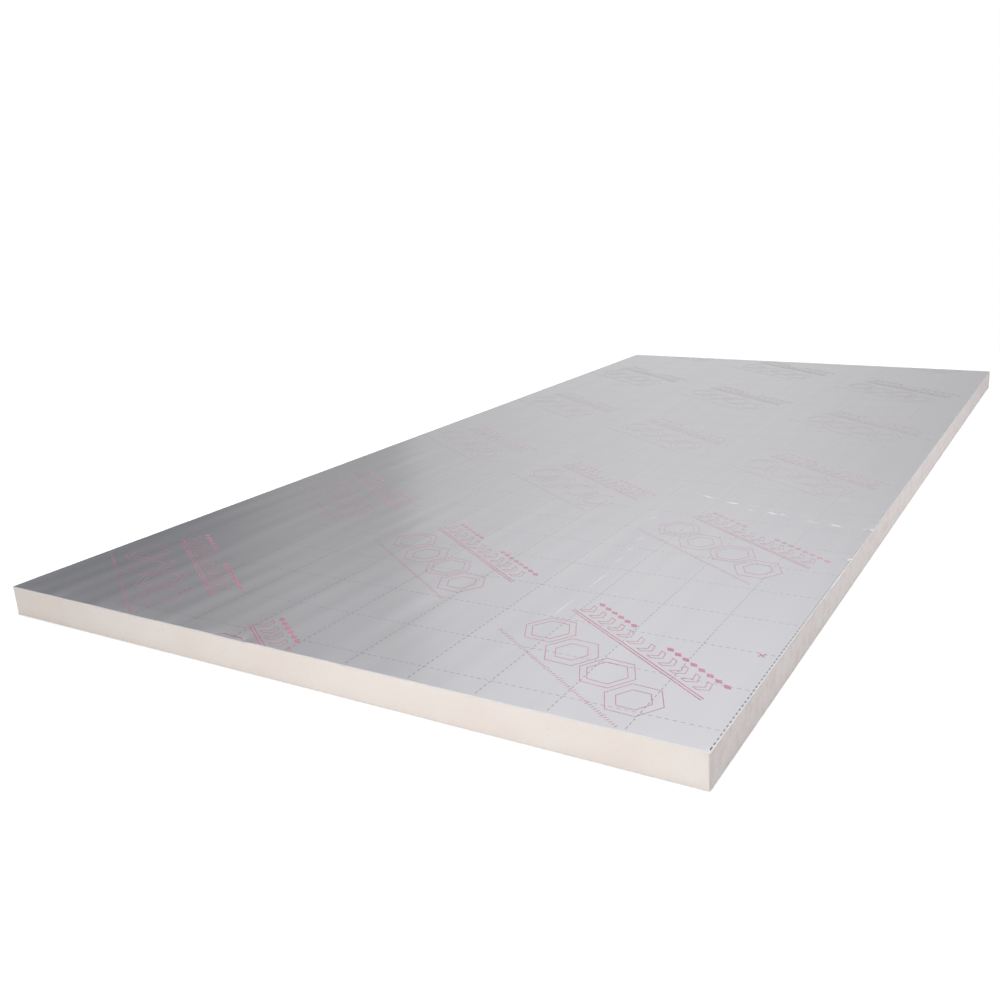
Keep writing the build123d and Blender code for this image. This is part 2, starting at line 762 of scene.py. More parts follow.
@dataclass
class CuttingGrid:
    """The printed cutting grid: dashed lines along and across the top facer.

    Attributes:
        sizes: of the board.
        relief: of the foil under it.
        pitch: side of a square, as it measures on the board.
        dash_share: printed share of each dash's pitch.
        dashes: dashes to a square's side.
        line: width of a line along the board.
        cross_line: width of a line across it.
        edge_line: width of the line beside the right edge.
        edge_inset: distance of that line from the edge.
        first_cross: where the cross lines start, from the near edge, at mid width.
        skew: how far a cross line climbs for each metre across.
        margin: unprinted strip along the cut edges.
        shortest: share of a dash that a cut one has to keep, or it is left out.
    """

    sizes: BoardSizes
    relief: FacerRelief
    pitch: float = 101.5 * MM
    dash_share: float = 0.52
    dashes: int = 10
    line: float = 0.84 * MM
    cross_line: float = 0.52 * MM
    edge_line: float = 1.9 * MM
    edge_inset: float = 2.4 * MM
    first_cross: float = 37.2 * MM
    skew: float = 0.0175
    margin: float = 1.6 * MM
    shortest: float = 0.2

    def dash_lines(self, low: float, high: float, phase: float) -> tuple[np.ndarray, np.ndarray]:
        """Starts and ends of the dashes of one line between two limits."""
        step = self.pitch / self.dashes
        first = math.floor((low - phase) / step)
        starts = phase + step * np.arange(first, math.ceil((high - phase) / step))
        ends = np.clip(starts + self.dash_share * step, low, high)
        starts = np.clip(starts, low, high)
        kept = ends - starts > self.shortest * self.dash_share * step
        return starts[kept], ends[kept]

    def build(self) -> bpy.types.Object:
        """Makes every dash of the grid, as a band of two stations."""
        ink = InkStrips(self.relief)
        half_x = self.sizes.width / 2
        half_y = self.sizes.length / 2
        cross_start = self.first_cross - half_y
        starts, ends = self.dash_lines(self.margin - half_y, half_y - self.margin, cross_start)
        x = half_x - self.edge_inset
        thickness = self.edge_line
        while x > self.margin - half_x:
            side = np.array([-thickness / 2, thickness / 2])
            left, right = (
                np.stack([np.full((len(starts), 2), x + offset), np.stack([starts, ends], -1)], -1)
                for offset in side
            )
            ink.add(left, right)
            x -= self.pitch
            thickness = self.line
        starts, ends = self.dash_lines(self.margin - half_x, half_x - self.margin,
                                       half_x - self.edge_inset)
        across = np.stack([starts, ends], -1)
        y = cross_start
        while y < half_y + self.skew * half_x:
            middle = y + self.skew * across
            inside = np.abs(middle).max(1) < half_y - self.margin
            if inside.any():
                upper = np.stack([across, middle + self.cross_line / 2], -1)[inside]
                lower = np.stack([across, middle - self.cross_line / 2], -1)[inside]
                ink.add(upper, lower)
            y += self.pitch
        return ink.build("cutting_grid_print")


class Mark(Enum):
    """Plain shapes of a printed stamp, as corner points in units of their height."""

    CELL = tuple((0.5 * math.sin(math.radians(a)), 0.5 * math.cos(math.radians(a)))
                 for a in range(360, 0, -60))
    CHEVRON = ((-0.42, -0.5), (0.02, -0.5), (0.42, 0.0), (0.02, 0.5), (-0.42, 0.5), (-0.02, 0.0))


@dataclass(frozen=True)
class Band:
    """A printed band of one stamp, in the stamp's own plan axes.

    Attributes:
        left: left edge, (stations, 2).
        right: right edge, of the same shape.
        closed: the band is a loop.
    """

    left: np.ndarray
    right: np.ndarray
    closed: bool

    def moved(self, s: float, t: float) -> "Band":
        """The same band somewhere else."""
        return Band(self.left + (s, t), self.right + (s, t), self.closed)


def outlined(mark: Mark, height: float, pen: float, step: float) -> Band:
    """The outline of a mark, drawn inside its corner points.

    Each corner of the inner edge lies in from the outer one by the sum of the two
    sides' inward normals times pen / (1 + their product), so that the band is equally
    wide all round. Longer sides get more stations, so that they follow the foil.

    Args:
        mark: the shape; its corners run anticlockwise.
        height: of the shape.
        pen: width of the band.
        step: longest stretch between two stations.

    Returns:
        The closed band.
    """
    corners = height * np.array(mark.value)
    sides = np.roll(corners, -1, 0) - corners
    lengths = np.linalg.norm(sides, axis=1, keepdims=True)
    normals = np.stack([-sides[:, 1], sides[:, 0]], -1) / lengths
    before = np.roll(normals, 1, 0)
    product = (normals * before).sum(1, keepdims=True)
    inner = corners + pen * (normals + before) / (1 + product)
    parts = max(1, math.ceil(float(lengths.max()) / step))
    share = np.arange(parts)[None, :, None] / parts
    outer_run, inner_run = (
        (edge[:, None] + share * (np.roll(edge, -1, 0) - edge)[:, None]).reshape(-1, 2)
        for edge in (corners, inner)
    )
    return Band(inner_run, outer_run, True)


def ruled(low: float, high: float, pen: float, step: float) -> Band:
    """A straight band along s, on t = 0."""
    s = spaced(low, high, step)
    return Band(np.stack([s, np.full_like(s, pen / 2)], -1),
                np.stack([s, np.full_like(s, -pen / 2)], -1), False)


def filled_lozenge(height: float, length: float) -> Band:
    """A solid lozenge, all but pointed at its ends."""
    s = np.array([-0.5, 0.0, 0.5]) * length
    half = np.array([0.06, 0.5, 0.06]) * height
    return Band(np.stack([s, half], -1), np.stack([s, -half], -1), False)


@dataclass
class StampPrint:
    """Red stamps in a brick pattern: rows of plain shapes on each side of a rule.

    A stamp has its own plan axes: s runs along its rule and t across it. From the top
    it has two groups of solid lozenges, a row of outlined chevrons, a double rule, a
    chain of outlined six-sided cells and a scale of ticks.

    Attributes:
        sizes: of the board.
        relief: of the foil under it.
        slant_deg: turn of the stamps against the board's width.
        column_pitch: distance between columns of stamps.
        row_pitch: distance between the stamps of a column.
        first: place of the first stamp, from the middle of the board.
        columns: number of columns.
        reach: length of the rules.
        cell: height of a cell.
        pen: width of the thin outlines.
        step: longest stretch of a band between two stations.
        margin: unprinted strip along the cut edges.
    """

    sizes: BoardSizes
    relief: FacerRelief
    slant_deg: float = -33.0
    column_pitch: float = 405 * MM
    row_pitch: float = 462 * MM
    first: tuple[float, float] = (-395 * MM, -1010 * MM)
    columns: int = 3
    reach: float = 318 * MM
    cell: float = 82 * MM
    pen: float = 1.15 * MM
    step: float = 13 * MM
    margin: float = 1.2 * MM

    def cells(self) -> list[Band]:
        """The chain of cells: each has a second outline inside the first."""
        count, gap = 4, 6 * MM
        below_rule, stagger = 57 * MM, 9 * MM
        pitch = self.cell * math.sqrt(3) / 2 + gap
        bands = []
        for place in range(count):
            s = (place - (count - 1) / 2) * pitch
            t = -below_rule - (stagger if place % 2 else 0)
            inside = 0.62 if place % 2 else 0.74
            for height in (self.cell, self.cell * inside):
                bands.append(outlined(Mark.CELL, height, self.pen, self.step).moved(s, t))
        return bands

    def rows(self) -> list[Band]:
        """The rows above the cells, and the scale of ticks under them."""
        half = self.reach / 2
        rule_pen, rule_gap = 1.7 * MM, 4.6 * MM
        rule = ruled(-half, half, rule_pen, self.step)
        bands = [rule, rule.moved(0, rule_gap)]

        chevrons, chevron_height, chevron_pitch = 12, 24 * MM, 25.5 * MM
        chevron_start, chevron_level = 14 * MM, 23 * MM
        chevron = outlined(Mark.CHEVRON, chevron_height, self.pen, self.step)
        for place in range(chevrons):
            s = -half + chevron_start + chevron_pitch * place
            bands.append(chevron.moved(s, chevron_level))

        first_group, last_group, lozenge_pitch = 6, 8, 17.5 * MM
        lozenge_start, lozenge_level = 9 * MM, 46 * MM
        lozenge = filled_lozenge(9.5 * MM, 14 * MM)
        first_places = -half + lozenge_start + lozenge_pitch * np.arange(first_group)
        last_places = half - lozenge_start - lozenge_pitch * np.arange(last_group)
        bands += [lozenge.moved(s, lozenge_level) for s in (*first_places, *last_places)]

        ticks, long_every, tick_pitch = 54, 6, 5.9 * MM
        tick_start, tick_level, half_tick = 3 * MM, -116 * MM, 0.6 * MM
        tick, long_tick = (ruled(-half_tick, half_tick, length, self.step)
                           for length in (4.5 * MM, 8 * MM))
        for place in range(ticks):
            s = -half + tick_start + tick_pitch * place
            bands.append((tick if place % long_every else long_tick).moved(s, tick_level))
        return bands

    def centres(self) -> np.ndarray:
        """Middles of the stamps: columns, every second one half a row further on."""
        found = []
        rows = math.ceil(self.sizes.length / self.row_pitch) + 1
        for column in range(self.columns):
            x = self.first[0] + column * self.column_pitch
            y = self.first[1] - (column % 2) * self.row_pitch / 2
            found += [(x, y + row * self.row_pitch) for row in range(rows)]
        return np.array(found)

    def inside(self, places: np.ndarray) -> np.ndarray:
        """Which places are on the face, clear of its cut edges."""
        limit = np.array([self.sizes.width / 2, self.sizes.length / 2]) - self.margin
        return (np.abs(places) < limit).all(-1)

    def cut_bands(self, band: Band) -> list[tuple[np.ndarray, np.ndarray]]:
        """The parts of a band that lie on the face, where the cut edge crosses it.

        The band is followed in steps of a millimetre, and each unbroken run of steps
        whose two edges both lie on the face is kept, with a station every few steps. A
        loop is followed from a step off the face, so that no part is split where the
        loop closes.

        Args:
            band: in the board's axes.

        Returns:
            Left and right edge of each part.
        """
        edges = np.stack([band.left, band.right], 1)
        if band.closed:
            edges = np.concatenate([edges, edges[:1]])
        gaps = np.linalg.norm(np.diff(edges.mean(1), axis=0), axis=1)
        run = np.concatenate([[0], np.cumsum(gaps)])
        stations = np.linspace(0, run[-1], max(2, math.ceil(run[-1] / MM)))
        fine = np.stack([np.interp(stations, run, edges[:, side, axis])
                         for side in (0, 1) for axis in (0, 1)], -1).reshape(-1, 2, 2)
        kept = self.inside(fine).all(1)
        if band.closed:
            start = int(np.argmin(kept[:-1]))
            fine, kept = np.roll(fine[:-1], -start, 0), np.roll(kept[:-1], -start)
        changes = np.diff(kept.astype(int), prepend=0, append=0)
        stride = 8
        parts = []
        for first, last in zip(np.flatnonzero(changes == 1), np.flatnonzero(changes == -1)):
            picked = np.unique(np.append(np.arange(first, last, stride), last - 1))
            if len(picked) > 1:
                parts.append((fine[picked, 0], fine[picked, 1]))
        return parts

    def build(self) -> bpy.types.Object:
        """Makes every stamp. The cut edges of the board cut the print too."""
        ink = InkStrips(self.relief)
        slant = math.radians(self.slant_deg)
        turn = np.array([[math.cos(slant), math.sin(slant)], [-math.sin(slant), math.cos(slant)]])
        centres = self.centres()[:, None]
        for band in self.cells() + self.rows():
            left = centres + band.left @ turn
            right = centres + band.right @ turn
            on_face = self.inside(np.concatenate([left, right], 1))
            whole = on_face.all(1)
            if whole.any():
                ink.add(left[whole], right[whole], band.closed)
            for place in np.flatnonzero(on_face.any(1) & ~whole):
                for part in self.cut_bands(Band(left[place], right[place], band.closed)):
                    ink.add(part[0][None], part[1][None])
        return ink.build("red_stamp_print")


@dataclass
class CrossMark:
    """Small red crosses at the right-hand side of the grid.

    Attributes:
        relief: of the foil under them.
        centres: where they are, from the middle of the board.
        arm: length of an arm.
        pen: width of an arm.
    """

    relief: FacerRelief
    centres: tuple[tuple[float, float], ...]
    arm: float = 6.0 * MM
    pen: float = 2.4 * MM

    def build(self) -> bpy.types.Object:
        """Makes each cross of a long band and two half ones that meet it."""
        ink = InkStrips(self.relief)
        slant = math.radians(45)
        along = np.array([math.cos(slant), math.sin(slant)])
        aside = np.array([-along[1], along[0]])
        centres = np.array(self.centres)[:, None]
        arms = [(along, aside, -self.arm, self.arm), (aside, -along, self.pen / 2, self.arm),
                (aside, -along, -self.arm, -self.pen / 2)]
        for run, side, low, high in arms:
            stations = centres + np.array([[low], [high]]) * run
            ink.add(stations + side * self.pen / 2, stations - side * self.pen / 2)
        return ink.build("cross_mark_print")


# Shader node groups that several finishes share


def srgb(red: int, green: int, blue: int) -> tuple[float, float, float, float]:
    """A colour given as it shows on a screen, 0 to 255, as linear light."""
    shown = np.array([red, green, blue]) / 255
    linear = np.where(shown <= 0.04045, shown / 12.92, ((shown + 0.055) / 1.055) ** 2.4)
    return (*(float(part) for part in linear), 1.0)


class Nodes:
    """Adds nodes to a tree and joins them, to keep the finishes short to read."""

    def __init__(self, tree: bpy.types.NodeTree) -> None:
        """Works on that tree."""
        self.tree = tree

    def add(self, kind: str, **inputs: object) -> bpy.types.Node:
        """Adds a node, sets its properties and its inputs.

        Args:
            kind: the node's type, without the ShaderNode in front.
            inputs: a property of the node, or an input by its name, with _ for a
                space. A socket is linked, and any other value is set.

        Returns:
            The node.
        """
        node = self.tree.nodes.new(f"ShaderNode{kind}")
        for name, value in inputs.items():
            if hasattr(node, name):
                setattr(node, name, value)
        for name, value in inputs.items():
            if hasattr(node, name):
                continue
            spaced_name = name.replace("_", " ")
            socket = next(s for s in node.inputs if s.name == spaced_name and s.enabled)
            self.put(socket, value)
        return node

    def put(self, socket: bpy.types.NodeSocket, value: object) -> None:
        """Links a socket, or sets its value."""
        if isinstance(value, bpy.types.NodeSocket):
            self.tree.links.new(value, socket)
        else:
            socket.default_value = value

    def math(self, operation: str, first: object, second: object = 0.0) -> bpy.types.NodeSocket:
        """A Math node's result."""
        node = self.add("Math", operation=operation)
        self.put(node.inputs[0], first)
        self.put(node.inputs[1], second)
        return node.outputs[0]

    def mix_colour(self, share: object, first: object, second: object) -> bpy.types.NodeSocket:
        """A mix of two colours."""
        node = self.add("Mix", data_type="RGBA")
        self.put(node.inputs[0], share)
        self.put(node.inputs[6], first)
        self.put(node.inputs[7], second)
        return node.outputs[2]

    def remap(self, value: object, low: object = 0.0, high: object = 1.0,
              to_low: object = 0.0, to_high: object = 1.0) -> bpy.types.NodeSocket:
        """A value moved from one range to another, and kept inside that one."""
        node = self.add("MapRange", Value=value, From_Min=low, From_Max=high, To_Min=to_low,
                        To_Max=to_high)
        return node.outputs[0]

    def ramp(self, share: object, stops: Sequence[tuple[float, float]]) -> bpy.types.NodeSocket:
        """A value that runs in straight lines between stops.

        Args:
            share: where to read it, from 0 to 1.
            stops: (place, value), in rising order of place.

        Returns:
            The value.
        """
        node = self.add("ValToRGB", Fac=share)
        elements = node.color_ramp.elements
        for _ in stops[2:]:
            elements.new(0.5)
        for element, (place, level) in zip(elements, stops):
            element.position = place
            element.color = (level, level, level, 1.0)
        return node.outputs[0]

    def place(self, group: bpy.types.NodeTree, **inputs: object) -> bpy.types.Node:
        """Places a node group and sets its inputs by name, with _ for a space."""
        node = self.tree.nodes.new("ShaderNodeGroup")
        node.node_tree = group
        for name, value in inputs.items():
            self.put(node.inputs[name.replace("_", " ")], value)
        return node


def new_material(name: str) -> tuple[bpy.types.Material, Nodes, bpy.types.NodeInputs]:
    """Starts a material.

    Args:
        name: of the material.

    Returns:
        The material, what adds nodes to it, and the inputs of its shader.
    """
    made = bpy.data.materials.new(name)
    made.use_nodes = True
    return made, Nodes(made.node_tree), made.node_tree.nodes["Principled BSDF"].inputs


def new_group(name: str, inputs: dict[str, tuple[str, float]],
              outputs: dict[str, str]) -> tuple[bpy.types.NodeTree, bpy.types.Node, bpy.types.Node]:
    """Starts a shader node group.

    Args:
        name: of the group.
        inputs: each input's name, with its socket type and default.
        outputs: each output's name, with its socket type.

    Returns:
        The group, its input node and its output node.
    """
    tree = bpy.data.node_groups.new(name, "ShaderNodeTree")
    for label, (kind, default) in inputs.items():
        socket = tree.interface.new_socket(label, in_out="INPUT", socket_type=kind)
        if kind == "NodeSocketFloat":
            socket.default_value = default
    for label, kind in outputs.items():
        tree.interface.new_socket(label, in_out="OUTPUT", socket_type=kind)
    return tree, tree.nodes.new("NodeGroupInput"), tree.nodes.new("NodeGroupOutput")


def rolled_streaks() -> bpy.types.NodeTree:
    """Fine lines that rolling leaves along the foil's length.

    Two noises are stretched along Y, one fine and one broad. Their sum is the
    height of the lines, and a softer mix of them is the shade.
    """
    tree, given, result = new_group(
        "rolled_streaks",
        {"Place": ("NodeSocketVector", 0.0), "Fine scale": ("NodeSocketFloat", 260.0),
         "Broad scale": ("NodeSocketFloat", 24.0), "Stretch": ("NodeSocketFloat", 0.02)},
        {"Height": "NodeSocketFloat", "Shade": "NodeSocketFloat"},
    )
    nodes = Nodes(tree)
    stretch = nodes.add("CombineXYZ", X=1.0, Y=given.outputs["Stretch"], Z=1.0)
    place = nodes.add("VectorMath", operation="MULTIPLY")
    nodes.put(place.inputs[0], given.outputs["Place"])
    nodes.put(place.inputs[1], stretch.outputs[0])
    fine = nodes.add("TexNoise", noise_dimensions="2D", Vector=place.outputs[0],
                     Scale=given.outputs["Fine scale"], Detail=2.0, Roughness=0.55)
    broad = nodes.add("TexNoise", noise_dimensions="2D", Vector=place.outputs[0],
                      Scale=given.outputs["Broad scale"], Detail=2.0, Roughness=0.5)
    height = nodes.math("ADD", fine.outputs[0], nodes.math("MULTIPLY", broad.outputs[0], 1.2))
    shade = nodes.math("ADD", nodes.math("MULTIPLY", fine.outputs[0], 0.35),
                       nodes.math("MULTIPLY", broad.outputs[0], 0.65))
    tree.links.new(height, result.inputs["Height"])
    tree.links.new(shade, result.inputs["Shade"])
    return tree


def fine_speckle() -> bpy.types.NodeTree:
    """A fine even grain over a slow drift, for foam cells and for thin ink."""
    tree, given, result = new_group(
        "fine_speckle",
        {"Place": ("NodeSocketVector", 0.0), "Grain scale": ("NodeSocketFloat", 900.0),
         "Drift scale": ("NodeSocketFloat", 6.0)},
        {"Grain": "NodeSocketFloat", "Drift": "NodeSocketFloat"},
    )
    nodes = Nodes(tree)
    place = given.outputs["Place"]
    grain = nodes.add("TexNoise", Vector=place, Scale=given.outputs["Grain scale"],
                      Detail=3.0, Roughness=0.65)
    drift = nodes.add("TexNoise", Vector=place, Scale=given.outputs["Drift scale"],
                      Detail=2.0, Roughness=0.5)
    tree.links.new(grain.outputs[0], result.inputs["Grain"])
    tree.links.new(drift.outputs[0], result.inputs["Drift"])
    return tree


# Finishes


@dataclass(frozen=True)
class FoilFinish:
    """Satin aluminium foil with rolling streaks, painted near white and rougher where it gets a
    painted highlight.

    Attributes:
        name: of the material.
        light: colour of the brighter streaks.
        dark: colour of the duller streaks.
        glint: colour of the painted highlight.
        smooth: roughness of the brighter streaks.
        rough: roughness of the duller streaks.
        glint_rough: roughness of the painted highlight.
        relief: height of the finest lines, in metres.
    """

    name: str = "satin_foil"
    light: tuple[float, ...] = srgb(207, 206, 210)
    dark: tuple[float, ...] = srgb(204, 203, 208)
    glint: tuple[float, ...] = srgb(250, 250, 250)
    smooth: float = 0.17
    rough: float = 0.19
    glint_rough: float = 0.6
    relief: float = 0.000006

    def material(self, streaks: bpy.types.NodeTree) -> bpy.types.Material:
        """Builds the material round the shared streak group."""
        made, nodes, shader = new_material(self.name)
        place = nodes.add("TexCoord").outputs["Object"]
        lines = nodes.place(streaks, Place=place)
        # Painted highlight: the facer's attribute turns the foil near white and rougher.
        painted_glints = nodes.add("Attribute", attribute_name=PAINTED_GLINT_SHARE).outputs["Fac"]
        shade = nodes.remap(lines.outputs["Shade"], 0.3, 0.7)
        rough = nodes.remap(shade, to_low=self.smooth, to_high=self.rough)
        scattered = nodes.remap(painted_glints, to_low=rough, to_high=self.glint_rough)
        bump = nodes.add("Bump", Height=lines.outputs["Height"], Distance=self.relief)
        rolled = nodes.mix_colour(shade, self.light, self.dark)
        nodes.put(shader["Base Color"], nodes.mix_colour(painted_glints, rolled, self.glint))
        nodes.put(shader["Roughness"], scattered)
        nodes.put(shader["Normal"], bump.outputs[0])
        shader["Metallic"].default_value = 1.0
        return made


@dataclass(frozen=True)
class FoamFinish:
    """Cream closed-cell foam, as a saw leaves it.

    Attributes:
        name: of the material.
        light: colour of the paler foam.
        deep: colour of the warmer foam.
        side: colour of the long sides, darker and greyer than the ends.
        cell: colour in the open cells.
        openness: how far the open cells show.
        side_openness: how far the coarser cells of the long sides show.
        relief: depth of the cells, in metres.
        roughness: of the foam.
        gloss: of the foam, where 0.5 is a plain plastic.
    """

    name: str = "sawn_foam"
    light: tuple[float, ...] = srgb(243, 235, 229)
    deep: tuple[float, ...] = srgb(241, 231, 224)
    side: tuple[float, ...] = srgb(221, 215, 215)
    cell: tuple[float, ...] = srgb(212, 201, 195)
    openness: float = 0.45
    side_openness: float = 0.62
    relief: float = 0.0001
    roughness: float = 0.9
    gloss: float = 0.25

    def material(self, speckle: bpy.types.NodeTree) -> bpy.types.Material:
        """Builds the material round the shared speckle group."""
        made, nodes, shader = new_material(self.name)
        place = nodes.add("TexCoord").outputs["Object"]
        torn = nodes.add("Attribute", attribute_name=TORN_SHARE).outputs["Fac"]
        on_side = nodes.add("Attribute", attribute_name=SIDE_SHARE).outputs["Fac"]
        spots = nodes.place(speckle, Place=place, Grain_scale=750.0, Drift_scale=9.0)
        mottle = nodes.place(speckle, Place=place, Grain_scale=64.0, Drift_scale=28.0)
        pores = nodes.remap(spots.outputs["Grain"], 0.56, 0.74)
        drift = nodes.remap(spots.outputs["Drift"], 0.35, 0.65)
        flecks = nodes.remap(mottle.outputs["Grain"], 0.46, 0.60)
        body = nodes.mix_colour(drift, self.light, self.deep)
        body = nodes.mix_colour(on_side, body, self.side)
        open_cells = nodes.math("MAXIMUM", torn, pores)
        open_cells = nodes.math("MULTIPLY", open_cells, self.openness)
        coarser = nodes.math("MULTIPLY", flecks, on_side)
        coarser = nodes.math("MULTIPLY", coarser, self.side_openness)
        open_cells = nodes.math("MAXIMUM", open_cells, coarser)
        bump = nodes.add("Bump", Height=spots.outputs["Grain"], Distance=self.relief)
        nodes.put(shader["Base Color"], nodes.mix_colour(open_cells, body, self.cell))
        nodes.put(shader["Normal"], bump.outputs[0])
        shader["Roughness"].default_value = self.roughness
        shader["Specular IOR Level"].default_value = self.gloss
        return made


@dataclass(frozen=True)
class InkFinish:
    """A thin ink on foil, which shows through where the ink covers less. Its colour and cover change
    along Y in a painted fade: light and reflection painted onto an even print.

    Attributes:
        name: of the material.
        thick: colour where the ink is dense.
        thin: colour where it has missed.
        painted_far_tone: colour of the ink at the far end, painted light and reflection.
        painted_tone_span: where along Y the painted far tone starts, and where it is whole.
        cover: share of the foil that the ink hides, as (share of the board's length from its near
            end, cover), in rising order; its change along Y is painted light and reflection.
        half_length: of the board.
        foil: colour of the foil under it.
        foil_roughness: of that foil.
        roughness: of the ink.
        varnish: weight of the clear coat over it.
        relief: height of the foil's lines under the ink, in metres.
    """

    name: str
    thick: tuple[float, ...]
    thin: tuple[float, ...]
    painted_far_tone: tuple[float, ...]
    painted_tone_span: tuple[float, float]
    cover: tuple[tuple[float, float], ...]
    half_length: float
    foil: tuple[float, ...] = srgb(205, 204, 209)
    foil_roughness: float = 0.18
    roughness: float = 0.36
    varnish: float = 0.9
    relief: float = 0.00002

    def material(self, streaks: bpy.types.NodeTree,
                 speckle: bpy.types.NodeTree) -> bpy.types.Material:
        """Builds the material round both shared groups."""
        made, nodes, shader = new_material(self.name)
        place = nodes.add("TexCoord").outputs["Object"]
        spots = nodes.place(speckle, Place=place, Grain_scale=420.0, Drift_scale=14.0)
        lines = nodes.place(streaks, Place=place)
        missed = nodes.math("MULTIPLY", spots.outputs["Grain"], spots.outputs["Drift"])
        print_colour = nodes.mix_colour(nodes.remap(missed, 0.2, 0.4), self.thick, self.thin)
        # Painted light and reflection: along Y the ink's colour turns to its far tone and its cover
        # follows the listed fade.
        along = nodes.add("SeparateXYZ", Vector=place).outputs["Y"]
        ink = nodes.mix_colour(nodes.remap(along, *self.painted_tone_span), print_colour, self.painted_far_tone)
        way = nodes.remap(along, -self.half_length, self.half_length)
        cover = nodes.ramp(way, self.cover)
        rough = nodes.remap(cover, to_low=self.foil_roughness, to_high=self.roughness)
        bump = nodes.add("Bump", Height=lines.outputs["Height"], Distance=self.relief)
        nodes.put(shader["Base Color"], nodes.mix_colour(cover, self.foil, ink))
        nodes.put(shader["Metallic"], nodes.math("SUBTRACT", 1.0, cover))
        nodes.put(shader["Roughness"], rough)
        nodes.put(shader["Normal"], bump.outputs[0])
        shader["Coat Weight"].default_value = self.varnish
        shader["Coat Roughness"].default_value = self.foil_roughness
        return made


# Studio and camera


@dataclass(frozen=True)
class SoftLamp:
    """A large soft lamp, which the foil doesn't mirror: it mirrors the walls instead.

    Attributes:
        name: of the lamp.
        place: of its middle, in metres.
        aim: the point that it faces.
        width: of the lamp.
        height: of the lamp.
        level: radiance, where 1 is as bright as white paper in plain light.
    """

    name: str
    place: tuple[float, float, float]
    aim: tuple[float, float, float]
    width: float
    height: float
    level: float

    def build(self) -> bpy.types.Object:
        """Makes the area light; its power is pi times radiance times area."""
        light = bpy.data.lights.new(self.name, "AREA")
        light.shape = "RECTANGLE"
        light.size = self.width
        light.size_y = self.height
        light.energy = math.pi * self.level * self.width * self.height
        lamp = bpy.data.objects.new(self.name, light)
        lamp.location = self.place
        towards = Vector(self.aim) - Vector(self.place)
        lamp.rotation_euler = towards.to_track_quat("-Z", "Y").to_euler()
        lamp.visible_camera = False
        lamp.visible_glossy = False
        bpy.context.scene.collection.objects.link(lamp)
        return lamp


